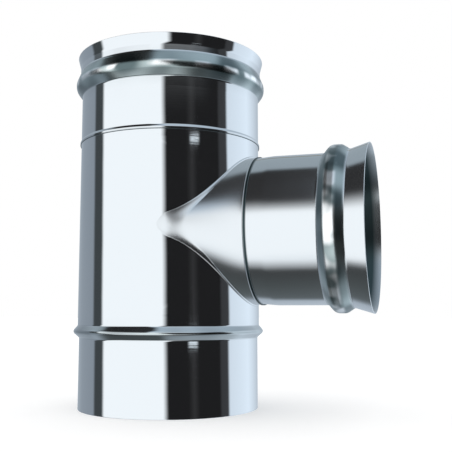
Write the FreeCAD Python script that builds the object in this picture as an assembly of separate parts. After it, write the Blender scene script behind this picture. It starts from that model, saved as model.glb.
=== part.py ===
import FreeCAD, Part
import math
import os

# Stainless stove pipe tee: one rolled main shell, a socket at its top, and a smaller branch to +X.
# All sizes are in millimetres. The origin is on the main axis, in the plane of the spigot's lower edge.

# Sheet and joints
sheet = 0.8
slip_clearance = 0.5
seat_gap = 0.1
ridge_run = 1.4

# Main pipe
spigot_diameter = 150.0
spigot_length = 58.3
stop_bead_rise = 4.4
stop_bead_height = 10.0
joint_above_branch = 13.3
joint_lap = 1.4
joint_ridge_height = 2.2

# Top socket
top_height = 296.0
top_bead_drop = 24.5
top_bead_rise = 5.2
top_bead_flat = 4.0
top_bead_upper_run = 8.2
top_bead_lower_run = 7.0
top_neck_rise = 1.8
top_lip_rise = 3.9
top_lip_flare = 8.0

# Branch
branch_diameter = 120.0
branch_axis_height = 146.0
collar_ring_stand = 7.2
collar_ring_height = 1.8
collar_ring_rise = 0.6
collar_shrink = 0.6
collar_lap = 4.6
foot_tip_angle = 4.6
foot_spread_power = 1.25
foot_side_power = 4
foot_flattening = 0.12
foot_flange_width = 1.5
foot_flange_tip_width = 0.5
foot_tip_sharpness = 16
foot_spans = 8
foot_stations = 7
throat_length = 1.0
throat_step = 7.0
branch_length = 89.5
branch_bead_drop = 25.85
branch_bead_rise = 6.4
branch_bead_flat = 8.1
branch_bead_inner_run = 5.6
branch_bead_outer_run = 6.2
branch_neck_rise = 2.2
branch_rim_rise = 6.9

# Longitudinal welds of the rolled sheets
weld_width = 2.4
weld_rise = 0.15
main_weld_angle = 180.0
socket_weld_angle = 172.0
branch_weld_angle = 205.0

# Bend radii, measured on the outside of the sheet
bead_bend = 3.0
crest_bend = 2.4
top_crest_bend = 6.0
stop_crest_bend = 2.6
edge_bend = 1.5
small_bend = 1.3
throat_bend = 12.0

# Sizes that follow from those above
spigot_radius = spigot_diameter / 2
main_radius = spigot_radius + slip_clearance + sheet
lap_gap = weld_rise + seat_gap
branch_radius = branch_diameter / 2 + slip_clearance + sheet
collar_radius = branch_radius - collar_shrink
throat_radius = collar_radius - sheet - lap_gap
stop_bead_centre = spigot_length + stop_bead_height / 2
socket_joint_height = branch_axis_height + collar_radius + joint_above_branch
collar_ring_reach = main_radius + collar_ring_stand
collar_round_start = collar_ring_reach - collar_ring_height - ridge_run
branch_reach = collar_ring_reach + branch_length

VERTICAL = FreeCAD.Vector(0, 0, 1)
ORIGIN = FreeCAD.Vector(0, 0, 0)


def corner_points(corners, radii):
    """Straight runs with an arc at each inner corner, as lists of points for lines and arcs."""
    pieces = []
    start = corners[0]
    for i in range(1, len(corners) - 1):
        before = (corners[i] - corners[i - 1]).normalize()
        after = (corners[i + 1] - corners[i]).normalize()
        turn = before.getAngle(after)
        if turn < 1e-6:
            continue
        reach = radii[i] * math.tan(turn / 2)
        arc_start = corners[i] - before * reach
        arc_end = corners[i] + after * reach
        to_centre = (after - before).normalize()
        depth = radii[i] / math.cos(turn / 2) - radii[i]
        pieces.append([start, arc_start])
        pieces.append([arc_start, corners[i] + to_centre * depth, arc_end])
        start = arc_end
    pieces.append([start, corners[-1]])
    return pieces


def offset_path(corners, radii, distance):
    """The same path moved towards the axis, with each bend's radius changed to match."""
    sides = []
    for i in range(len(corners) - 1):
        along = (corners[i + 1] - corners[i]).normalize()
        sides.append((along, FreeCAD.Vector(-along.z, 0, along.x) * distance))
    moved = [corners[0] + sides[0][1]]
    bends = [0.0]
    for i in range(1, len(corners) - 1):
        before, shift = sides[i - 1]
        after = sides[i][0]
        turn = before.x * after.z - before.z * after.x
        half = math.tan(before.getAngle(after) / 2)
        sign = 1 if turn > 0 else -1
        moved.append(corners[i] + shift + before * (-sign * distance * half))
        bends.append(radii[i] - sign * distance)
    moved.append(corners[-1] + sides[-1][1])
    bends.append(0.0)
    return moved, bends


def path_edges(corners, radii):
    """Edges of a path of straight runs and tangent arcs."""
    edges = []
    for points in corner_points(corners, radii):
        if len(points) == 3:
            edges.append(Part.Arc(*points).toShape())
        elif (points[1] - points[0]).Length > 1e-6:
            edges.append(Part.LineSegment(*points).toShape())
    return edges


def sheet_face(path, inner_offset, outer_offset=0.0):
    """The section of a bent sheet between two offsets of one path of (radius, height, bend)."""
    corners = [FreeCAD.Vector(radius, 0, height) for radius, height, bend in path]
    radii = [bend for radius, height, bend in path]
    outer, outer_bends = offset_path(corners, radii, outer_offset)
    inner, inner_bends = offset_path(corners, radii, inner_offset)
    edges = path_edges(outer, outer_bends)
    edges.append(Part.LineSegment(outer[-1], inner[-1]).toShape())
    edges += path_edges(inner, inner_bends)
    edges.append(Part.LineSegment(inner[0], outer[0]).toShape())
    return Part.Face(Part.Wire(Part.__sortEdges__(edges)))


def rolled_shell(path, weld_angle):
    """A sheet rolled to a tube along a path, closed by a weld along its length."""
    shell = sheet_face(path, sheet).revolve(ORIGIN, VERTICAL, 360)
    weld_turn = math.degrees(weld_width / path[0][0])
    weld = sheet_face(path, sheet / 2, -weld_rise).revolve(ORIGIN, VERTICAL, weld_turn)
    weld.rotate(ORIGIN, VERTICAL, weld_angle - weld_turn / 2)
    return shell.fuse(weld).removeSplitter()


def to_branch(shape):
    """Turn a shape made round the vertical axis on to the branch axis, pointing to +X."""
    shape.rotate(ORIGIN, FreeCAD.Vector(0, 1, 0), 90)
    shape.translate(FreeCAD.Vector(0, 0, branch_axis_height))
    return shape


def foot_tip_turn():
    """The turn round the main axis at which the foot's side leaves the main shell at the tip angle."""
    low = 0.0
    high = math.pi / 3
    for _ in range(40):
        middle = (low + high) / 2
        rise = main_radius * math.cos(middle) - collar_radius
        run = collar_round_start - main_radius * math.sin(middle)
        if foot_spread_power * rise / run > math.tan(middle - math.radians(foot_tip_angle)):
            low = middle
        else:
            high = middle
    return low


foot_apex_reach = main_radius * math.sin(foot_tip_turn())
foot_spread = main_radius * math.cos(foot_tip_turn()) - collar_radius


def foot_point(reach, inset, tip_inset, angle):
    """A point of the branch's foot: round at the collar ring, drawn out to a tip on both sides below it.

    The surface lies inwards by the inset, which blends to the tip's inset at the foot's two sides."""
    spread = (collar_round_start - reach) / (collar_round_start - foot_apex_reach)
    spread = min(max(spread, 0.0), 1.0) ** foot_spread_power
    across = math.cos(angle)
    up = math.sin(angle)
    inset += (tip_inset - inset) * across ** foot_tip_sharpness
    radius = collar_radius - inset
    side = foot_spread * spread * across * abs(across) ** (foot_side_power - 1)
    flat = 1 - foot_flattening * spread * math.sin(2 * angle) ** 2
    y = (radius * across + side) * flat
    z = radius * up * flat
    return FreeCAD.Vector(reach, y, z + branch_axis_height)


def foot_section(reach, inset, tip_inset):
    """One closed section of the foot, as four quarter curves that meet square to the axes."""
    quarters = []
    for quarter in range(4):
        first = math.pi / 2 * quarter
        last = first + math.pi / 2
        angles = [first + (last - first) * i / foot_spans for i in range(foot_spans + 1)]
        curve = Part.BSplineCurve()
        curve.interpolate(
            Points=[foot_point(reach, inset, tip_inset, angle) for angle in angles],
            InitialTangent=FreeCAD.Vector(0, -math.sin(first), math.cos(first)),
            FinalTangent=FreeCAD.Vector(0, -math.sin(last), math.cos(last)),
        )
        quarters.append(curve.toShape())
    return Part.Wire(quarters)


def foot_solid(inset, tip_inset):
    """A solid with the outer form of the branch's foot, moved inwards by the insets."""
    step = (collar_round_start - foot_apex_reach) / foot_stations
    reaches = [collar_round_start - step * i for i in range(foot_stations + 2)]
    return Part.makeLoft([foot_section(reach, inset, tip_inset) for reach in reaches], True, False)


def ring_solid(inset):
    """The round end of the collar, with the raised ring at its edge, moved inwards by the inset."""
    raised = inset - collar_ring_rise
    sections = [
        (collar_round_start, inset),
        (collar_round_start + ridge_run / 2, inset),
        (collar_round_start + ridge_run, raised),
        (collar_ring_reach, raised),
    ]
    wires = []
    for reach, depth in sections:
        wire = foot_section(collar_round_start, depth, depth)
        wire.translate(FreeCAD.Vector(reach - collar_round_start, 0, 0))
        wires.append(wire)
    return Part.makeLoft(wires, True, True)


def main_cylinder(radius):
    """A solid cylinder on the main axis, as tall as the tee."""
    return Part.makeCylinder(radius, top_height, ORIGIN, VERTICAL)


def tee_body():
    """Main shell: reduced spigot, stop bead, full tube with the branch hole."""
    path = [
        (spigot_radius, 0, 0),
        (spigot_radius, spigot_length, edge_bend),
        (main_radius + stop_bead_rise, stop_bead_centre, stop_crest_bend),
        (main_radius, spigot_length + stop_bead_height, edge_bend),
        (main_radius, socket_joint_height + joint_lap, 0),
    ]
    shell = rolled_shell(path, main_weld_angle)
    return shell.cut(foot_solid(sheet, sheet))


def top_socket():
    """Socket with a ridge that laps over the main shell's end, tube, seal bead, neck and flared lip."""
    ridge_radius = main_radius + lap_gap + sheet
    ridge_top = socket_joint_height + joint_ridge_height
    bead_top = top_height - top_bead_drop + top_bead_flat / 2
    bead_bottom = bead_top - top_bead_flat
    path = [
        (ridge_radius, socket_joint_height, 0),
        (ridge_radius, ridge_top, small_bend),
        (main_radius, ridge_top + ridge_run, small_bend),
        (main_radius, bead_bottom - top_bead_lower_run, edge_bend),
        (main_radius + top_bead_rise, bead_bottom, top_crest_bend),
        (main_radius + top_bead_rise, bead_top, top_crest_bend),
        (main_radius + top_neck_rise, bead_top + top_bead_upper_run, bead_bend),
        (main_radius + top_neck_rise, top_height - top_lip_flare, 2 * bead_bend),
        (main_radius + top_lip_rise, top_height, 0),
    ]
    return rolled_shell(path, socket_weld_angle)


def branch_collar():
    """Branch foot that stands on the main shell and ends in the round ring over the throat."""
    main_solid = main_cylinder(main_radius + seat_gap)
    flange_band = main_cylinder(main_radius + seat_gap + sheet).cut(main_solid)
    flange = foot_solid(-foot_flange_width, -foot_flange_tip_width).common(flange_band)
    outer = foot_solid(0, 0).fuse(ring_solid(0)).cut(main_solid).fuse(flange)
    inner = foot_solid(sheet, sheet).fuse(ring_solid(sheet))
    return outer.cut(inner)


def branch_socket():
    """Branch tube: throat inside the collar, tube, flat-topped seal bead, neck and flared rim."""
    throat_end = collar_ring_reach + throat_length
    bead_inner = branch_reach - branch_bead_drop - branch_bead_flat / 2
    bead_outer = bead_inner + branch_bead_flat
    crest_radius = branch_radius + branch_bead_rise
    path = [
        (throat_radius, collar_ring_reach - collar_lap, 0),
        (throat_radius, throat_end, throat_bend),
        (branch_radius, throat_end + throat_step, throat_bend),
        (branch_radius, bead_inner - branch_bead_inner_run, bead_bend),
        (crest_radius, bead_inner, crest_bend),
        (crest_radius, bead_outer, crest_bend),
        (branch_radius + branch_neck_rise, bead_outer + branch_bead_outer_run, bead_bend),
        (branch_radius + branch_rim_rise, branch_reach, 0),
    ]
    return to_branch(rolled_shell(path, branch_weld_angle))


def export(name, shape):
    """Write one piece and print its volume."""
    solids = shape.Solids
    if len(solids) == 1:
        shape = solids[0]
    print(name, "solids", len(solids), "valid", shape.isValid(), "volume", round(shape.Volume, 1))
    shape.exportStep(os.path.join("parts", name + ".step"))


def main():
    os.makedirs("parts", exist_ok=True)
    export("tee_body", tee_body())
    export("top_socket", top_socket())
    export("branch_collar", branch_collar())
    export("branch_socket", branch_socket())


main()
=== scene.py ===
import bpy
import math
import numpy as np
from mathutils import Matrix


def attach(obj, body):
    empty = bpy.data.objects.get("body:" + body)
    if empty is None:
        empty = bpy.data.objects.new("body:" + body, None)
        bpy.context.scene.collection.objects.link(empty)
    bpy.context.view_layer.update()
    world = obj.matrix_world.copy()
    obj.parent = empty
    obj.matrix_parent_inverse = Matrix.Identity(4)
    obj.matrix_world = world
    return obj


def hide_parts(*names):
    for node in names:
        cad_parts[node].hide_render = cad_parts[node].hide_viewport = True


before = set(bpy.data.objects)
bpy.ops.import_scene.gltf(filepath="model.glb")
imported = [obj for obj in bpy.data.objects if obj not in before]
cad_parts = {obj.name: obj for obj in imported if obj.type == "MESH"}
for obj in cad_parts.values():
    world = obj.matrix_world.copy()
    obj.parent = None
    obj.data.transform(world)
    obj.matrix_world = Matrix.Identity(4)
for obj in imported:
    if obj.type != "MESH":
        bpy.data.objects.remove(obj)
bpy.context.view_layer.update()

mm = 0.001

# Sheet and joints, shared by all four shells (mm)
steelSheet = {
    "thickness": 0.8,
    "slipClearance": 0.5,
    "seatGap": 0.1,
    "weldRise": 0.15,
    "weldWidth": 2.4,
    "weldBell": 1.5,
    "ridgeRun": 1.4,
    "edgeRound": 0.25,
    "smallBend": 1.3,
    "edgeBend": 1.5,
    "beadBend": 3.0,
}

# Fineness of the meshes: lengths in mm, bend step and sharp angle in degrees, weld reaches in radians
fineness = {
    "columns": 288,
    "bendStep": 9.0,
    "longestStep": 7.0,
    "support": 0.3,
    "supportShare": 0.3,
    "weldColumns": 17,
    "weldReach": 0.045,
    "weldClear": 0.05,
    "sharpAngle": 50,
    "mergeStepsPerMm": 100,
    "tipTries": 200001,
    "meetTries": 90,
}


# Corners (radius, height, bend) moved sideways: each side shifts along its normal, bends follow
def offsetCorners(corners, distance):
    points = np.array([corner[:2] for corner in corners], float)
    along = np.diff(points, axis=0)
    along /= np.linalg.norm(along, axis=1)[:, None]
    shift = np.stack([-along[:, 1], along[:, 0]], axis=1) * distance
    moved = [(*(points[0] + shift[0]), 0.0)]
    for i in range(1, len(points) - 1):
        before, after = along[i - 1], along[i]
        turn = math.atan2(before[0] * after[1] - before[1] * after[0], before @ after)
        place = points[i] + shift[i - 1] - before * distance * math.tan(turn / 2)
        moved.append((*place, corners[i][2] - math.copysign(distance, turn)))
    moved.append((*(points[-1] + shift[-1]), 0.0))
    return moved


# Points of a straight run: even steps, with a support point close to each end
def spreadRun(start, end, rows=None):
    length = np.linalg.norm(end - start)
    if rows is None:
        count = max(2, int(length / fineness["longestStep"]) + 1)
        rows = np.linspace(0, 1, count)
        edge = fineness["support"] / max(length, 1e-9)
        if edge < fineness["supportShare"]:
            rows = np.unique(np.concatenate([rows, [edge, 1 - edge]]))
    return start + (end - start) * rows[:, None]


# A closed outline through rounded corners: straight runs joined by tangent arcs.
# fixedRows gives heights that every long vertical run passing them must hold.
def closedPath(corners, fixedRows=None):
    points = np.array([corner[:2] for corner in corners], float)
    before = points - np.roll(points, 1, axis=0)
    before /= np.linalg.norm(before, axis=1)[:, None]
    after = np.roll(before, -1, axis=0)
    outline = []
    ends = []
    for i, (place, bend) in enumerate(zip(points, [corner[2] for corner in corners])):
        turn = math.atan2(
            before[i][0] * after[i][1] - before[i][1] * after[i][0], before[i] @ after[i]
        )
        reach = bend * math.tan(abs(turn) / 2)
        start = place - before[i] * reach
        steps = max(2, int(math.degrees(abs(turn)) / fineness["bendStep"]) + 1)
        angles = np.linspace(0, turn, steps + 1)
        side = math.copysign(1.0, turn)
        normal = np.array([-before[i][1], before[i][0]]) * side
        arc = (
            start
            + np.outer(np.sin(np.abs(angles)), before[i]) * bend
            + np.outer(1 - np.cos(angles), normal) * bend
        )
        ends.append((arc[0], arc[-1], arc))
    for i in range(len(ends)):
        outline.append(ends[i][2])
        start, end = ends[i][1], ends[(i + 1) % len(ends)][0]
        length = np.linalg.norm(end - start)
        if length < 1e-6:
            continue
        run = spreadRun(start, end)
        rising = abs(end[0] - start[0]) < 1e-9 and fixedRows is not None
        lowest, highest = sorted((start[1], end[1]))
        if rising and lowest < fixedRows[0] and highest > fixedRows[-1]:
            ratios = (np.asarray(fixedRows) - start[1]) / (end[1] - start[1])
            clear = fineness["support"] * 2 / length
            plain = np.linspace(0, 1, int(length / fineness["longestStep"]) + 1)
            outside = (plain < ratios.min() - clear) | (plain > ratios.max() + clear)
            edge = fineness["support"] / length
            rows = np.unique(np.concatenate([plain[outside], [0, edge, 1 - edge, 1], ratios]))
            run = spreadRun(start, end, rows)
        outline.append(run[1:-1])
    outline = np.concatenate(outline)
    gaps = np.linalg.norm(outline - np.roll(outline, 1, axis=0), axis=1)
    return outline[gaps > 1e-5]


# The closed section of a bent sheet, with its cut edges slightly rounded
def sheetOutline(corners, fixedRows=None):
    outer = [list(corner) for corner in corners]
    inner = [list(corner) for corner in offsetCorners(corners, steelSheet["thickness"])]
    for line in (outer, inner):
        line[0][2] = line[-1][2] = steelSheet["edgeRound"]
    return closedPath(outer + inner[::-1], fixedRows)


# Angles of the columns round a pipe, closer together beside the weld
def roundAngles(weldAngle):
    plain = np.arange(fineness["columns"]) * 2 * math.pi / fineness["columns"]
    away = np.abs((plain - weldAngle + math.pi) % (2 * math.pi) - math.pi)
    fine = weldAngle + np.linspace(-1, 1, fineness["weldColumns"]) * fineness["weldReach"]
    return np.sort(np.concatenate([plain[away > fineness["weldClear"]], fine % (2 * math.pi)]))


# Turns a sheet's section round the vertical axis: (r, h) at angle a goes to (r cos a, r sin a, h).
# The outside swells by a bell curve across the weld. Also returns the weld's strength per point,
# the outline and the angles.
def spinSheet(corners, weldAngle, fixedRows=None):
    outline = sheetOutline(corners, fixedRows)
    angles = roundAngles(weldAngle)
    middle = offsetCorners(corners, steelSheet["thickness"] / 2)
    centre = np.array([corner[:2] for corner in middle])
    nearest = np.array([np.interp(h, centre[:, 1], centre[:, 0]) for h in outline[:, 1]])
    outside = (outline[:, 0] > nearest).astype(float)
    across = (angles - weldAngle + math.pi) % (2 * math.pi) - math.pi
    across = across[:, None] * outline[None, :, 0] / (steelSheet["weldWidth"] / 2)
    weld = np.exp(-(across ** 2) * steelSheet["weldBell"])
    radius = outline[None, :, 0] + weld * outside[None, :] * steelSheet["weldRise"]
    height = np.broadcast_to(outline[None, :, 1], radius.shape)
    x = radius * np.cos(angles)[:, None]
    y = radius * np.sin(angles)[:, None]
    return np.stack([x, y, height], axis=-1), weld, outline, angles


# Quads of a grid of points, each made of a point, its next in the column and in the row
def gridFaces(columns, rows, closeColumns=True, closeRows=True):
    i = np.arange(columns if closeColumns else columns - 1)
    j = np.arange(rows if closeRows else rows - 1)
    i, j = np.meshgrid(i, j, indexing="ij")
    nextI = (i + 1) % columns
    nextJ = (j + 1) % rows
    corners = [i * rows + j, nextI * rows + j, nextI * rows + nextJ, i * rows + nextJ]
    return np.stack(corners, axis=-1).reshape(-1, 4)


# Turns all quads over if the volume that they enclose comes out negative
def pointOutwards(points, quads):
    a, b, c, d = (points[quads[:, k]] for k in range(4))
    volume = np.sum(a * np.cross(b, c)) + np.sum(a * np.cross(c, d))
    return quads if volume > 0 else quads[:, ::-1]


# 1 on the crest of a worked bead, 0.5 on its sides and 0 beyond, with a soft change between
def beadShare(outline, low, crestLow, crestHigh, high):
    inBead = np.minimum(outline[:, 1] - low, high - outline[:, 1]) / brightSteel["beadFade"]
    onCrest = np.minimum(outline[:, 1] - crestLow, crestHigh - outline[:, 1]) / brightSteel["beadFade"]
    return (np.clip(inBead + 0.5, 0, 1) + np.clip(onCrest + 0.5, 0, 1)) / 2


# 1 on a sheet's inner side, less towards its open edge: the strength of the painted shade inside
def innerShare(outline, edge, fade):
    height = outline[:, 1]
    climb = np.roll(height, -1) - np.roll(height, 1)
    return np.where(climb < 0, np.clip((edge - height) / fade, brightSteel["edgeShare"], 1), 0)


# 1 below the edge of a seam's painted shade line and 0 above it, with a soft change between
def seamShare(outline, edge):
    return np.clip((edge - outline[:, 1]) / brightSteel["seamFade"], 0, 1)


# The strengths at each point of a spun piece, from those along its outline
def spunShares(weld, bead, paintedShade):
    along = {"bead": bead, "paintedShade": paintedShade}
    return {"weld": weld, **{label: np.broadcast_to(share, weld.shape) for label, share in along.items()}}


# A mesh object in metres from arrays in mm, in place of its node
def makePiece(name, points, quads, shares, material, node):
    mesh = bpy.data.meshes.new(name)
    mesh.from_pydata((points * mm).tolist(), [], pointOutwards(points, quads).tolist())
    for label, values in shares.items():
        strength = mesh.attributes.new(label, "FLOAT", "POINT")
        strength.data.foreach_set("value", values.astype(np.float32).reshape(-1))
    mesh.polygons.foreach_set("use_smooth", np.ones(len(mesh.polygons), bool))
    mesh.set_sharp_from_angle(angle=math.radians(fineness["sharpAngle"]))
    mesh.validate()
    mesh.materials.append(material)
    piece = bpy.data.objects.new(name, mesh)
    bpy.context.scene.collection.objects.link(piece)
    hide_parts(node)
    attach(piece, "root")
    # As in the photo, the shells mirror the studio and not one another
    piece.visible_glossy = False
    print(name, "points", len(points), "faces", len(quads))


# Main shell: spigot, stop bead, tube with the branch hole
mainPipe = {
    "spigotRadius": 75.0,
    "spigotLength": 58.3,
    "stopBeadRise": 4.4,
    "stopBeadHeight": 10.0,
    "stopCrestBend": 2.6,
    "jointHeight": 220.0,
    "jointLap": 1.4,
    "jointRidgeHeight": 2.2,
    "weldAngle": math.radians(180),
    "patchHalfAngle": 82,
    "patchHalfHeight": 69.0,
    "patchRings": 22,
    "patchRows": 45,
}

# Branch foot and its ring
branchFoot = {
    "axisHeight": 146.0,
    "ringStand": 7.2,
    "ringHeight": 1.8,
    "ringRise": 0.6,
    "ringBend": 1.1,
    "ringLight": 1.3,
    "ringClear": 0.3,
    "shrink": 0.6,
    "tipAngle": math.radians(4.6),
    "spreadPower": 1.25,
    "sidePower": 4,
    "flattening": 0.12,
    "flangeWidth": 1.5,
    "flangeTurn": 150,
    "flangeRows": 13,
    "flangeSeat": 0.45,
    "tipSharpness": 16,
    "tipFillet": 2.2,
    "filletSeat": 0.95,
    "tipFade": 10,
    "columns": 480,
    "wallRows": 44,
}

# Branch tube with its socket
sidePipe = {
    "pipeRadius": 60.0,
    "throatRise": 0.65,
    "throatRun": 12.0,
    "throatBend": 30.0,
    "lap": 4.6,
    "length": 89.5,
    "beadDrop": 25.85,
    "beadRise": 6.4,
    "beadFlat": 8.1,
    "beadInnerRun": 5.6,
    "beadOuterRun": 6.2,
    "crestBend": 5.5,
    "neckRise": 2.2,
    "rimRise": 6.9,
    "mouthFade": 6.0,
    "seamRise": 0.2,
    "weldAngle": math.radians(205),
}

thickness = steelSheet["thickness"]
lapGap = steelSheet["weldRise"] + steelSheet["seatGap"]
mainRadius = mainPipe["spigotRadius"] + steelSheet["slipClearance"] + thickness
branchRadius = sidePipe["pipeRadius"] + steelSheet["slipClearance"] + thickness
collarRadius = branchRadius - branchFoot["shrink"]
ringReach = mainRadius + branchFoot["ringStand"]
roundStart = ringReach - branchFoot["ringHeight"] - steelSheet["ridgeRun"]
seatRadius = mainRadius + steelSheet["seatGap"]


# The turn round the main axis at which the foot's side leaves the main shell at the tip angle
def tipTurn():
    turns = np.linspace(0, math.pi / 3, fineness["tipTries"])
    rise = mainRadius * np.cos(turns) - collarRadius
    slope = branchFoot["spreadPower"] * rise / (roundStart - mainRadius * np.sin(turns))
    return turns[np.argmax(slope < np.tan(turns - branchFoot["tipAngle"]))]


apexReach = mainRadius * math.sin(tipTurn())
footSpread = mainRadius * math.cos(tipTurn()) - collarRadius


# The foot's section at a reach: a circle at the ring, drawn out to a tip on both sides below it.
# y = (radius cos + side) flat, z = radius sin flat. Towards the tips side grows from 0 and flat,
# between the main directions, falls from 1.
def footPoint(reach, inset, tipInset, angle):
    share = np.clip((roundStart - reach) / (roundStart - apexReach), 0, 1)
    spread = share ** branchFoot["spreadPower"]
    across, up = np.cos(angle), np.sin(angle)
    radius = collarRadius - inset - (tipInset - inset) * across ** branchFoot["tipSharpness"]
    side = footSpread * spread * across * np.abs(across) ** (branchFoot["sidePower"] - 1)
    flat = 1 - branchFoot["flattening"] * spread * np.sin(2 * angle) ** 2
    return (radius * across + side) * flat, radius * up * flat


# Where the foot's surface meets a cylinder on the main axis: x = sqrt(radius^2 - y(x)^2), iterated
def reachAt(radius, inset, tipInset, angle):
    reach = np.full_like(angle, radius * 0.8)
    for _ in range(fineness["meetTries"]):
        y, z = footPoint(reach, inset, tipInset, angle)
        reach = 0.5 * reach + 0.5 * np.sqrt(np.maximum(radius ** 2 - y ** 2, 0))
    return reach


# A closed row of points where the foot's surface, moved by the inset, meets a cylinder
def footRow(radius, inset, tipInset, angle):
    reach = reachAt(radius, inset, tipInset, angle)
    y, z = footPoint(reach, inset, tipInset, angle)
    return np.stack([reach, y, z + branchFoot["axisHeight"]], axis=-1)


# The branch hole's edge on a cylinder of the main shell, as angle round the axis and height
def branchHole(radius, angle):
    row = footRow(radius, thickness, thickness, angle)
    return np.arctan2(row[:, 1], row[:, 0]), row[:, 2]


# Grid between the branch hole and a rectangle of the shell, in rings that blend one into the other.
# Ring m holds hole + (rectangle - hole) * m / rings, in angle round the axis and height.
def holePatch(radius, columnAngles, rowHeights):
    bottom = np.stack([columnAngles, np.full_like(columnAngles, rowHeights[0])], axis=1)
    right = np.stack([np.full_like(rowHeights, columnAngles[-1]), rowHeights], axis=1)
    top = np.stack([columnAngles[::-1], np.full_like(columnAngles, rowHeights[-1])], axis=1)
    left = np.stack([np.full_like(rowHeights, columnAngles[0]), rowHeights[::-1]], axis=1)
    frameLine = np.concatenate([bottom[:-1], right[:-1], top[:-1], left[:-1]])
    up = (frameLine[:, 1] - branchFoot["axisHeight"]) / mainPipe["patchHalfHeight"]
    across = frameLine[:, 0] / columnAngles[-1]
    angle = np.arctan2(up, across)
    hole = np.stack(branchHole(radius, angle), axis=1)
    blend = np.linspace(0, 1, mainPipe["patchRings"] + 1)[:, None, None]
    flat = hole + (frameLine - hole) * blend
    x = radius * np.cos(flat[..., 0])
    y = radius * np.sin(flat[..., 0])
    return np.stack([x, y, flat[..., 1]], axis=-1)


# Joins points that lie within a hundredth of a millimetre and drops faces that shrink to nothing
def mergePoints(points, quads, *values):
    keys = np.round(points * fineness["mergeStepsPerMm"]).astype(np.int64)
    _, first, place = np.unique(keys, axis=0, return_index=True, return_inverse=True)
    quads = place.reshape(-1)[quads]
    ordered = np.sort(quads, axis=1)
    whole = (np.diff(ordered, axis=1) > 0).all(axis=1)
    return points[first], quads[whole], *(value[first] for value in values)


# The spun section, with the rectangle round the branch hole swapped for the patch
def teeBody(material):
    beadLow = mainPipe["spigotLength"]
    beadTop = beadLow + mainPipe["stopBeadHeight"]
    beadMiddle = (beadLow + beadTop) / 2
    crest = mainRadius + mainPipe["stopBeadRise"]
    corners = [
        (mainPipe["spigotRadius"], 0, 0),
        (mainPipe["spigotRadius"], beadLow, steelSheet["edgeBend"]),
        (crest, beadMiddle, mainPipe["stopCrestBend"]),
        (mainRadius, beadTop, steelSheet["edgeBend"]),
        (mainRadius, mainPipe["jointHeight"] + mainPipe["jointLap"], 0),
    ]
    low = branchFoot["axisHeight"] - mainPipe["patchHalfHeight"]
    high = branchFoot["axisHeight"] + mainPipe["patchHalfHeight"]
    rowHeights = np.linspace(low, high, mainPipe["patchRows"])
    grid, weld, outline, angles = spinSheet(corners, mainPipe["weldAngle"], rowHeights)
    quads = gridFaces(len(angles), len(outline))
    signed = (angles + math.pi) % (2 * math.pi) - math.pi
    limit = math.radians(mainPipe["patchHalfAngle"]) + 1e-6
    inPatch = np.abs(signed) < limit
    columnAngles = np.sort(signed[inPatch])
    column, row = np.divmod(quads, len(outline))
    faceColumns = inPatch[column].all(axis=1)
    faceHeights = outline[row, 1]
    faceRows = ((faceHeights > low - 1e-6) & (faceHeights < high + 1e-6)).all(axis=1)
    points = [grid.reshape(-1, 3)]
    faces = [quads[~(faceColumns & faceRows)]]
    total = len(points[0])
    edges = []
    # Painted shade on the main shell's inner side, the inner patch included
    deep = brightSteel["deepShare"]
    paintedShade = [np.broadcast_to(innerShare(outline, math.inf, 1) * deep, weld.shape).reshape(-1)]
    for radius, flip in ((mainRadius, False), (mainRadius - thickness, True)):
        patch = holePatch(radius, columnAngles, rowHeights)
        patchQuads = gridFaces(patch.shape[0], patch.shape[1], closeColumns=False)
        patchQuads = patchQuads[:, ::-1] if flip else patchQuads
        points.append(patch.reshape(-1, 3))
        faces.append(patchQuads + total)
        edges.append(np.arange(patch.shape[1]) + total)
        paintedShade.append(np.full(patch.shape[0] * patch.shape[1], deep * flip))
        total += patch.shape[0] * patch.shape[1]
    outerEdge, innerEdge = edges
    cutEdge = [outerEdge, np.roll(outerEdge, -1), np.roll(innerEdge, -1), innerEdge]
    faces.append(np.stack(cutEdge, axis=1))
    points = np.concatenate(points)
    faces = np.concatenate(faces)
    # Stop bead: a weaker share of the bead's roughness and painted reflection
    bead = beadShare(outline, beadLow, beadMiddle, beadMiddle, beadTop) * brightSteel["stopBeadShare"]
    bead = np.broadcast_to(bead, weld.shape)
    patchZeros = np.zeros(total - weld.size)
    allWeld = np.concatenate([weld.reshape(-1), patchZeros])
    allBead = np.concatenate([bead.reshape(-1), patchZeros])
    points, faces, *values = mergePoints(points, faces, allWeld, allBead, np.concatenate(paintedShade))
    shares = dict(zip(("weld", "bead", "paintedShade"), values))
    makePiece("teeShell", points, faces, shares, material, "tee_body")


# Socket on top
upperSocket = {
    "top": 296.0,
    "beadDrop": 24.5,
    "beadRise": 5.2,
    "beadFlat": 4.0,
    "upperRun": 8.2,
    "lowerRun": 7.0,
    "crestBend": 6.0,
    "neckRise": 1.8,
    "lipRise": 3.9,
    "lipFlare": 8.0,
    "seamRise": 0.7,
    "weldAngle": math.radians(172),
}


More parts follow.
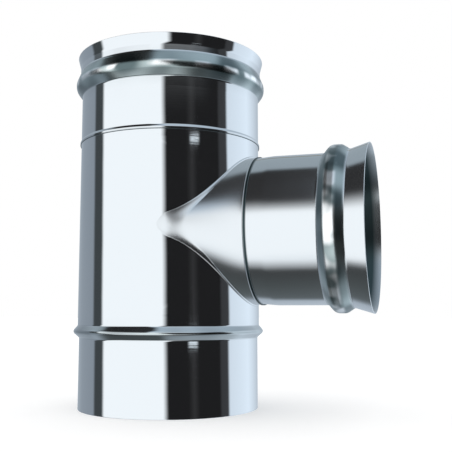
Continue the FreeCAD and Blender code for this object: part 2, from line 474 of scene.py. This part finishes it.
# Lap ridge, tube, seal bead, neck and flared lip, spun round the main axis
def topSocket(material):
    beadTop = upperSocket["top"] - upperSocket["beadDrop"] + upperSocket["beadFlat"] / 2
    beadBottom = beadTop - upperSocket["beadFlat"]
    joint = mainPipe["jointHeight"]
    ridgeTop = joint + mainPipe["jointRidgeHeight"]
    ridge = mainRadius + lapGap + thickness
    crest = mainRadius + upperSocket["beadRise"]
    neck = mainRadius + upperSocket["neckRise"]
    corners = [
        (ridge, joint, 0),
        (ridge, ridgeTop, steelSheet["smallBend"]),
        (mainRadius, ridgeTop + steelSheet["ridgeRun"], steelSheet["smallBend"]),
        (mainRadius, beadBottom - upperSocket["lowerRun"], steelSheet["edgeBend"]),
        (crest, beadBottom, upperSocket["crestBend"]),
        (crest, beadTop, upperSocket["crestBend"]),
        (neck, beadTop + upperSocket["upperRun"], steelSheet["beadBend"]),
        (neck, upperSocket["top"] - upperSocket["lipFlare"], 2 * steelSheet["beadBend"]),
        (mainRadius + upperSocket["lipRise"], upperSocket["top"], 0),
    ]
    grid, weld, outline, angles = spinSheet(corners, upperSocket["weldAngle"])
    quads = gridFaces(len(angles), len(outline))
    low, high = beadBottom - upperSocket["lowerRun"], beadTop + upperSocket["upperRun"]
    # Seal bead: rougher, rippled, with painted reflection and painted highlight spots on its crest
    bead = beadShare(outline, low, beadBottom, beadTop, high)
    # Painted shade on the inner side, less towards the lip, and a painted shade line at the joint seam
    inner = innerShare(outline, upperSocket["top"], upperSocket["lipFlare"]) * brightSteel["deepShare"]
    paintedShade = np.maximum(inner, seamShare(outline, joint + upperSocket["seamRise"]))
    shares = spunShares(weld, bead, paintedShade)
    makePiece("topSocketShell", grid.reshape(-1, 3), quads, shares, material, "top_socket")


# Throat, tube, flat-topped bead, neck and flared rim, spun and laid along the branch axis
def branchSocket(material):
    throatRadius = collarRadius - thickness - lapGap
    rimReach = ringReach + sidePipe["length"]
    beadInner = rimReach - sidePipe["beadDrop"] - sidePipe["beadFlat"] / 2
    beadOuter = beadInner + sidePipe["beadFlat"]
    crest = branchRadius + sidePipe["beadRise"]
    neck = branchRadius + sidePipe["neckRise"]
    corners = [
        (throatRadius, ringReach - sidePipe["lap"], 0),
        (throatRadius + sidePipe["throatRise"], ringReach, sidePipe["throatBend"]),
        (branchRadius, ringReach + sidePipe["throatRun"], sidePipe["throatBend"]),
        (branchRadius, beadInner - sidePipe["beadInnerRun"], steelSheet["beadBend"]),
        (crest, beadInner, sidePipe["crestBend"]),
        (crest, beadOuter, sidePipe["crestBend"]),
        (neck, beadOuter + sidePipe["beadOuterRun"], steelSheet["beadBend"]),
        (branchRadius + sidePipe["rimRise"], rimReach, 0),
    ]
    grid, weld, outline, angles = spinSheet(corners, sidePipe["weldAngle"])
    quads = gridFaces(len(angles), len(outline))
    low, high = beadInner - sidePipe["beadInnerRun"], beadOuter + sidePipe["beadOuterRun"]
    # Branch bead: rougher, rippled, with painted reflection and painted highlight spots on its crest
    bead = beadShare(outline, low, beadInner, beadOuter, high)
    # Painted shade inside the mouth, less towards the rim, and a painted shade line at the ring seam
    inner = innerShare(outline, rimReach, sidePipe["mouthFade"])
    paintedShade = np.maximum(inner, seamShare(outline, ringReach + sidePipe["seamRise"]))
    shares = spunShares(weld, bead, paintedShade)
    laid = np.stack([grid[..., 2], grid[..., 1], branchFoot["axisHeight"] - grid[..., 0]], axis=-1)
    points = laid.reshape(-1, 3)
    makePiece("branchSocketShell", points, quads, shares, material, "branch_socket")


# Rows round the branch: over the flange on the main shell, up the wall, over the ring, back inside
def branchCollar(material):
    angle = np.arange(branchFoot["columns"]) * 2 * math.pi / branchFoot["columns"]
    width = branchFoot["flangeWidth"]
    fade = np.abs(np.cos(angle)) ** branchFoot["tipFade"]
    fillet = branchFoot["tipFillet"]
    rows = []
    # Round flange: the way over it is an angle, from 0 at its outer edge up to the wall.
    # Towards the foot's tips it turns into a fillet that runs out on the main shell.
    for turn in np.radians(np.linspace(0, branchFoot["flangeTurn"], branchFoot["flangeRows"])):
        share = (1 + math.cos(turn)) / 2
        flange = thickness * math.sin(turn)
        height = flange + (fillet * (1 - share) ** 2 - flange) * fade
        out = width * share + (fillet * share ** 2 - width * share) * fade
        rows.append(footRow(seatRadius + height, -out, -out, angle))
    flange = thickness * branchFoot["flangeSeat"]
    seat = flange + (fillet * branchFoot["filletSeat"] - flange) * fade
    wallStart = reachAt(seatRadius + seat, 0, 0, angle)
    for share in np.linspace(0, 1, branchFoot["wallRows"]):
        reach = wallStart + (roundStart - wallStart) * share
        y, z = footPoint(reach, 0, 0, angle)
        rows.append(np.stack([reach, y, z + branchFoot["axisHeight"]], axis=-1))
    run = steelSheet["ridgeRun"]
    raised = collarRadius + branchFoot["ringRise"]
    ringCorners = [
        (collarRadius, roundStart, 0),
        (collarRadius, roundStart + run / 2, branchFoot["ringBend"]),
        (raised, roundStart + run, branchFoot["ringBend"]),
        (raised, ringReach, 0),
    ]
    ring = sheetOutline(ringCorners)
    turned = np.argmin(np.abs(ring[:, 1] - roundStart) + np.abs(ring[:, 0] - collarRadius))
    ring = np.roll(ring, -turned, axis=0)
    ring = ring[ring[:, 1] > roundStart + branchFoot["ringClear"]]
    for radius, reach in ring:
        y, z = radius * np.cos(angle), radius * np.sin(angle)
        rows.append(np.stack([np.full_like(y, reach), y, z + branchFoot["axisHeight"]], axis=-1))
    innerStart = reachAt(seatRadius, thickness, thickness, angle)
    for share in np.linspace(1, 0, branchFoot["wallRows"] // 2):
        reach = innerStart + (roundStart - innerStart) * share
        y, z = footPoint(reach, thickness, thickness, angle)
        rows.append(np.stack([reach, y, z + branchFoot["axisHeight"]], axis=-1))
    grid = np.stack(rows, axis=1)
    quads = gridFaces(grid.shape[0], grid.shape[1])
    points = grid.reshape(-1, 3)
    # Painted shade line on the ring's raised end, where it meets the branch socket
    pastLight = grid[..., 0] - roundStart - branchFoot["ringLight"]
    paintedShade = np.clip(pastLight / brightSteel["seamFade"], 0, 1)
    makePiece("branchCollarShell", points, quads, {"paintedShade": paintedShade}, material, "branch_collar")


# sRGB hex to linear values
def linear(hexColour):
    parts = np.array([int(hexColour[i:i + 2], 16) for i in (1, 3, 5)]) / 255
    curved = ((parts + 0.055) / 1.055) ** 2.4
    return (*np.where(parts <= 0.04045, parts / 12.92, curved), 1.0)


# The node tree of a material or world, with its first nodes removed
def emptyTree(owner):
    owner.use_nodes = True
    owner.node_tree.nodes.clear()
    return owner.node_tree


# Adds a node with its settings. Each value that goes into it is a number, a colour or another's output
def addNode(tree, kind, values=None, **settings):
    node = tree.nodes.new(kind)
    for name, setting in settings.items():
        setattr(node, name, setting)
    for socket, value in (values or {}).items():
        if isinstance(value, bpy.types.NodeSocket):
            tree.links.new(value, node.inputs[socket])
        else:
            node.inputs[socket].default_value = value
    return node


# Bright rolled stainless sheet: a near mirror, with faint rolling lines and the soft waves of thin sheet
brightSteel = {
    "colour": "#DBDEE1",
    "rolledRoughness": 0.04,
    "branchRoughness": 0.14,
    "drawnRoughness": 0.21,
    "roughnessSpread": 0.02,
    # Noise: size in mm, detail and roughness
    "smudges": (30.0, 3.0, 0.6),
    "waves": (42.0, 1.0, 0.5),
    "ripples": (26.0, 0.0, 0.5),
    "highlightSpots": (16.0, 1.0, 0.5),
    "lines": (1.1, 2.0, 0.5),
    "smudgeRange": (0.3, 0.7),
    "waveDepth": 0.012,
    "lineDepth": 0.0006,
    "lineStretch": 0.03,
    "bumpGain": 10,
    "weldTint": "#B9A37C",
    # Bead colours are painted reflection: dark teal mottled lighter for the dim room the beads mirror, with
    # white painted highlight spots on the crest
    "beadDark": "#5F6D6F",
    "beadMiddle": "#B4C0C0",
    "beadPaintedHighlight": "#FFFFFF",
    "beadRoughness": 0.17,
    "beadFade": 2,
    # Painted shade on inner sides and seams: its colour, added roughness, strength deep inside and at open
    # edges, and the seam line's fade
    "paintedShadeColour": "#3C4A4C",
    "darkRoughness": 0.2,
    "deepShare": 0.7,
    "edgeShare": 0.4,
    "seamFade": 0.4,
    # Share of the bead's roughness and painted reflection that the stop bead takes
    "stopBeadShare": 0.4,
    # Noise ranges of the painted highlight spots and of the painted reflection's mottle
    "highlightSpotRange": (0.4, 0.64),
    "mottleRange": (0.3, 0.66),
    "rippleDepth": 0.08,
}


# AISI 304 sheet, bright annealed and rolled: sharp reflections, slightly wavy, fine lines across
def brightStainless(name, roughness, lineAxis, seed):
    material = bpy.data.materials.new(name)
    tree = emptyTree(material)
    place = addNode(tree, "ShaderNodeTexCoord").outputs["Object"]
    shift = {"Vector": place, "Location": (seed, seed * 0.7, seed * 1.3)}
    shifted = addNode(tree, "ShaderNodeMapping", shift).outputs["Vector"]
    # Rolling lines, drawn at about 1 mm so that they show: real ones are near 0.1 mm
    stretch = [brightSteel["lineStretch"]] * 3
    stretch[lineAxis] = 1.0
    along = addNode(tree, "ShaderNodeMapping", {"Vector": place, "Scale": stretch}).outputs["Vector"]
    noise = {}
    for label in ("smudges", "waves", "ripples", "highlightSpots", "lines"):
        size, detail, grain = brightSteel[label]
        values = {"Scale": 1 / (size * mm), "Detail": detail, "Roughness": grain}
        values["Vector"] = along if label == "lines" else shifted
        noise[label] = addNode(tree, "ShaderNodeTexNoise", values).outputs["Fac"]
    share = {}
    for label in ("weld", "bead", "paintedShade"):
        share[label] = addNode(tree, "ShaderNodeAttribute", attribute_name=label).outputs["Fac"]
    # Bead rollers leave the metal rougher and rippled. Its colour there is painted reflection, dark teal
    # mottled lighter, and its crest carries painted highlight spots
    doubled = {0: share["bead"], 1: 2.0}
    beadArea = addNode(tree, "ShaderNodeMath", doubled, operation="MULTIPLY", use_clamp=True).outputs[0]
    doubled[2] = -1.0
    crest = addNode(tree, "ShaderNodeMath", doubled, operation="MULTIPLY_ADD", use_clamp=True).outputs[0]
    rippled = addNode(tree, "ShaderNodeMath", {0: noise["ripples"], 1: beadArea}, operation="MULTIPLY").outputs[0]
    relief = {}
    for height, depth in (
        (noise["waves"], "waveDepth"), (noise["lines"], "lineDepth"), (rippled, "rippleDepth"),
    ):
        distance = brightSteel[depth] * mm * brightSteel["bumpGain"]
        values = {"Height": height, "Strength": 1.0, "Distance": distance, **relief}
        relief = {"Normal": addNode(tree, "ShaderNodeBump", values).outputs["Normal"]}
    # Smudges spread the roughness; beads, inner sides and the seams at both rings add to it
    low, high = brightSteel["smudgeRange"]
    spread = brightSteel["roughnessSpread"] / 2
    limits = {"From Min": low, "From Max": high, "To Min": roughness - spread, "To Max": roughness + spread}
    rough = addNode(tree, "ShaderNodeMapRange", {"Value": noise["smudges"], **limits}).outputs["Result"]
    for strength, rise in ((beadArea, "beadRoughness"), (share["paintedShade"], "darkRoughness")):
        values = {0: strength, 1: brightSteel[rise], 2: rough}
        rough = addNode(tree, "ShaderNodeMath", values, operation="MULTIPLY_ADD").outputs[0]
    step = {}
    for label, limits in (("highlightSpots", "highlightSpotRange"), ("ripples", "mottleRange")):
        low, high = brightSteel[limits]
        values = {"Value": noise[label], "From Min": low, "From Max": high}
        soft = addNode(tree, "ShaderNodeMapRange", values, interpolation_type="SMOOTHSTEP")
        step[label] = soft.outputs["Result"]
    paintedCrestHighlight = addNode(tree, "ShaderNodeMath", {0: step["highlightSpots"], 1: crest}, operation="MULTIPLY").outputs[0]
    # Colours laid one over the other, each by its share: first the bead's painted reflection and painted
    # highlights, then the whole sheet's
    beadColour = linear(brightSteel["beadDark"])
    for cover, colour in ((step["ripples"], "beadMiddle"), (paintedCrestHighlight, "beadPaintedHighlight")):
        values = {"Factor": cover, "A": beadColour, "B": linear(brightSteel[colour])}
        beadColour = addNode(tree, "ShaderNodeMix", values, data_type="RGBA").outputs["Result"]
    # Painted shade last, on inner sides and seams, for the light lost between mirror walls
    tint = linear(brightSteel["colour"])
    for cover, colour in (
        (share["weld"], linear(brightSteel["weldTint"])),
        (beadArea, beadColour),
        (share["paintedShade"], linear(brightSteel["paintedShadeColour"])),
    ):
        values = {"Factor": cover, "A": tint, "B": colour}
        tint = addNode(tree, "ShaderNodeMix", values, data_type="RGBA").outputs["Result"]
    values = {"Base Color": tint, "Roughness": rough, "Metallic": 1.0, **relief}
    shader = addNode(tree, "ShaderNodeBsdfPrincipled", values)
    addNode(tree, "ShaderNodeOutputMaterial", {"Surface": shader.outputs["BSDF"]})
    return material


# Studio: what the metal mirrors, as angles in degrees with the grey seen there
studio = {
    # Round the horizon from the front (-Y), positive towards +X
    "round": [
        (-180, "#A9B3BD"), (-120, "#8A939C"), (-88, "#848D96"), (-84, "#3E4345"), (-71, "#3E4345"),
        (-67, "#F4F8FA"), (13, "#F4F8FA"), (19, "#1E1E1F"), (44, "#1E1E1F"), (51, "#313132"),
        (58, "#1E1E1F"), (86, "#1E1E1F"), (89, "#38393B"), (99, "#3B3C3E"), (102, "#D2DDE7"),
        (140, "#DFEBF6"), (180, "#A9B3BD"),
    ],
    # Up over the top and down below from the front, for what looks straight across the branch
    "over": [
        (-180, "#A9B3BD"), (-165, "#A9B3BD"), (-148, "#60676A"), (-100, "#4A4F50"), (-68, "#3C3E3F"),
        (-50, "#E9EEF1"), (18, "#F4F8FA"), (27, "#2A2A2B"), (96, "#2A2A2B"), (102, "#909BA2"),
        (160, "#909BA2"), (180, "#A9B3BD"),
    ],
    # The same for what looks a little to the right, as the branch's foot does
    "overRight": [
        (-180, "#C4CFD9"), (-150, "#B4BEC6"), (-105, "#949DA4"), (-85, "#6A7074"), (-68, "#3F4142"),
        (-50, "#E9EEF1"), (20, "#F4F8FA"), (48, "#B7C4D0"), (120, "#A3B1BD"), (180, "#B9C3CC"),
    ],
    "panelLight": 1.34,
    # How far the panels lean: degrees that their edges move for each unit of height
    "lean": 17.0,
    # Heights at which the ceiling and the ground take over from the panels
    "ceiling": (0.26, 0.66),
    "ground": (0.58, 0.76),
    # Cards above and below at the left end, and the dark right end
    "leftUpper": "#C0CBD6",
    "leftLower": "#868D92",
    "leftEdge": (-0.9, -0.7),
    "leftBlend": (-0.2, 0.2),
    "footEdge": (-0.15, -0.03),
    "rightColour": "#2C3432",
    "rightEdge": (0.8, 0.95),
    # Small windows in the dark gap: middle round the horizon, middle height, half width, half height
    "windows": [(51, 0.228, 8, 0.0055), (51, -0.039, 8, 0.011)],
    "windowLight": "#DDE6EC",
    "windowCore": 0.4,
}


# A colour ramp over an angle in radians from -pi to pi, with the stops given in degrees
def angleRamp(tree, angle, stops):
    turn = addNode(tree, "ShaderNodeMapRange", {"Value": angle, "From Min": -math.pi, "From Max": math.pi})
    ramp = addNode(tree, "ShaderNodeValToRGB", {"Fac": turn.outputs["Result"]})
    elements = ramp.color_ramp.elements
    for index, (degrees, colour) in enumerate(stops):
        position = (degrees + 180) / 360
        element = elements[index] if index < 2 else elements.new(position)
        element.position = position
        element.color = linear(colour)
    return ramp.outputs["Color"]


# 1 near the middle value, falling softly to 0 at the half width away from it
def closeTo(tree, value, middle, half):
    offset = addNode(tree, "ShaderNodeMath", {0: value, 1: middle}, operation="SUBTRACT").outputs[0]
    distance = addNode(tree, "ShaderNodeMath", {0: offset}, operation="ABSOLUTE").outputs[0]
    values = {"Value": distance, "From Min": half, "From Max": half * studio["windowCore"]}
    return addNode(tree, "ShaderNodeMapRange", values, interpolation_type="SMOOTHSTEP").outputs["Result"]


# White to the eye and to matt surfaces; the metal mirrors the studio's panels and dark gaps
def studioWorld():
    world = bpy.data.worlds.new("studio")
    bpy.context.scene.world = world
    tree = emptyTree(world)
    way = addNode(tree, "ShaderNodeTexCoord").outputs["Generated"]
    parts = addNode(tree, "ShaderNodeSeparateXYZ", {"Vector": way}).outputs
    front, down = (
        addNode(tree, "ShaderNodeMath", {0: parts[axis], 1: -1.0}, operation="MULTIPLY").outputs[0]
        for axis in "YZ"
    )
    roundAngle, overAngle = (
        addNode(tree, "ShaderNodeMath", {0: parts[axis], 1: front}, operation="ARCTAN2").outputs[0]
        for axis in "XZ"
    )
    values = {0: parts["Z"], 1: math.radians(studio["lean"]), 2: roundAngle}
    leaning = addNode(tree, "ShaderNodeMath", values, operation="MULTIPLY_ADD").outputs[0]
    step = {}
    for label, source in (
        ("leftBlend", parts["Z"]), ("leftEdge", parts["X"]), ("footEdge", parts["X"]),
        ("rightEdge", parts["X"]), ("ceiling", parts["Z"]), ("ground", down),
    ):
        low, high = studio[label]
        values = {"Value": source, "From Min": low, "From Max": high}
        soft = addNode(tree, "ShaderNodeMapRange", values, interpolation_type="SMOOTHSTEP")
        step[label] = soft.outputs["Result"]
    values = {0: step["ceiling"], 1: step["ground"]}
    away = addNode(tree, "ShaderNodeMath", values, operation="MAXIMUM").outputs[0]
    # Above and below, from the left end over the middle to the right end
    over, overRight = (angleRamp(tree, overAngle, studio[label]) for label in ("over", "overRight"))
    values = {"Factor": step["footEdge"], "A": over, "B": overRight}
    centre = addNode(tree, "ShaderNodeMix", values, data_type="RGBA").outputs["Result"]
    aboveBelow = linear(studio["leftLower"])
    for cover, colour in (
        (step["leftBlend"], linear(studio["leftUpper"])),
        (step["leftEdge"], centre),
        (step["rightEdge"], linear(studio["rightColour"])),
    ):
        values = {"Factor": cover, "A": aboveBelow, "B": colour}
        aboveBelow = addNode(tree, "ShaderNodeMix", values, data_type="RGBA").outputs["Result"]
    # Round the horizon: panels, then windows, then what is above and below
    layers = []
    for middle, height, halfWidth, halfHeight in studio["windows"]:
        near = closeTo(tree, roundAngle, math.radians(middle), math.radians(halfWidth))
        level = closeTo(tree, parts["Z"], height, halfHeight)
        window = addNode(tree, "ShaderNodeMath", {0: near, 1: level}, operation="MULTIPLY").outputs[0]
        layers.append((window, linear(studio["windowLight"])))
    layers.append((away, aboveBelow))
    mirrored = angleRamp(tree, leaning, studio["round"])
    for cover, colour in layers:
        values = {"Factor": cover, "A": mirrored, "B": colour}
        mirrored = addNode(tree, "ShaderNodeMix", values, data_type="RGBA").outputs["Result"]
    lit = addNode(tree, "ShaderNodeBackground", {"Color": mirrored, "Strength": studio["panelLight"]})
    white = addNode(tree, "ShaderNodeBackground", {"Color": (1, 1, 1, 1), "Strength": 1.0})
    ray = addNode(tree, "ShaderNodeLightPath")
    both = addNode(
        tree, "ShaderNodeMixShader",
        {0: ray.outputs["Is Glossy Ray"], 1: white.outputs[0], 2: lit.outputs[0]},
    )
    addNode(tree, "ShaderNodeOutputWorld", {"Surface": both.outputs[0]})


# Floor: half its width in m, its grey, and how much it is lifted for the eye
whiteFloor = {"half": 6.0, "grey": 0.82, "lift": 0.3}


# A matt white floor, lifted for the eye so that only the shadow stands out from the backdrop
def paleFloor():
    mesh = bpy.data.meshes.new("floor")
    half = whiteFloor["half"]
    corners = [(-half, -half, 0), (half, -half, 0), (half, half, 0), (-half, half, 0)]
    mesh.from_pydata(corners, [], [(0, 1, 2, 3)])
    floor = bpy.data.objects.new("floor", mesh)
    bpy.context.scene.collection.objects.link(floor)
    material = bpy.data.materials.new("mattWhiteFloor")
    tree = emptyTree(material)
    grey = whiteFloor["grey"]
    matt = addNode(tree, "ShaderNodeBsdfDiffuse", {"Color": (grey, grey, grey, 1)})
    seen = addNode(tree, "ShaderNodeLightPath").outputs["Is Camera Ray"]
    lift = addNode(tree, "ShaderNodeMath", {0: seen, 1: whiteFloor["lift"]}, operation="MULTIPLY")
    glow = addNode(tree, "ShaderNodeEmission", {"Strength": lift.outputs[0]})
    both = addNode(tree, "ShaderNodeAddShader", {0: matt.outputs[0], 1: glow.outputs[0]})
    addNode(tree, "ShaderNodeOutputMaterial", {"Surface": both.outputs[0]})
    mesh.materials.append(material)
    floor.visible_glossy = False


# Camera: where it stands round the tee and how it is turned (mm and degrees, clipping in m)
viewpoint = {
    "distance": 634.8,
    "round": 21.12,
    "height": 81.46,
    "turnRight": 4.371,
    "tiltUp": 6.444,
    "focalPixels": 737.6,
    "frameWidth": 452,
    "sensor": 36.0,
    "clip": (0.01, 50),
}


# Stands at a distance from the main axis, faces the axis, turns right, then tilts up
def photoCamera():
    data = bpy.data.cameras.new("camera")
    camera = bpy.data.objects.new("camera", data)
    bpy.context.scene.collection.objects.link(camera)
    data.sensor_width = viewpoint["sensor"]
    data.lens = viewpoint["focalPixels"] / viewpoint["frameWidth"] * viewpoint["sensor"]
    data.clip_start, data.clip_end = viewpoint["clip"]
    bearing = math.radians(viewpoint["round"])
    reach = viewpoint["distance"] * mm
    height = viewpoint["height"] * mm
    camera.location = (math.sin(bearing) * reach, -math.cos(bearing) * reach, height)
    tilt = math.radians(90 + viewpoint["tiltUp"])
    camera.rotation_euler = (tilt, 0, bearing - math.radians(viewpoint["turnRight"]))
    bpy.context.scene.camera = camera


photoCamera()
studioWorld()
paleFloor()
print("studio and camera")
# Each shell with its steel: roughness, the axis across the rolling lines, and a seed for the noise
teeBody(brightStainless("brightSteelBody", brightSteel["rolledRoughness"], 2, 0.0))
topSocket(brightStainless("brightSteelSocket", brightSteel["rolledRoughness"], 2, 3.1))
branchCollar(brightStainless("brightSteelCollar", brightSteel["drawnRoughness"], 0, 5.7))
branchSocket(brightStainless("brightSteelBranch", brightSteel["branchRoughness"], 0, 8.32))
print("shells")

bpy.context.scene.view_settings.view_transform = "Standard"
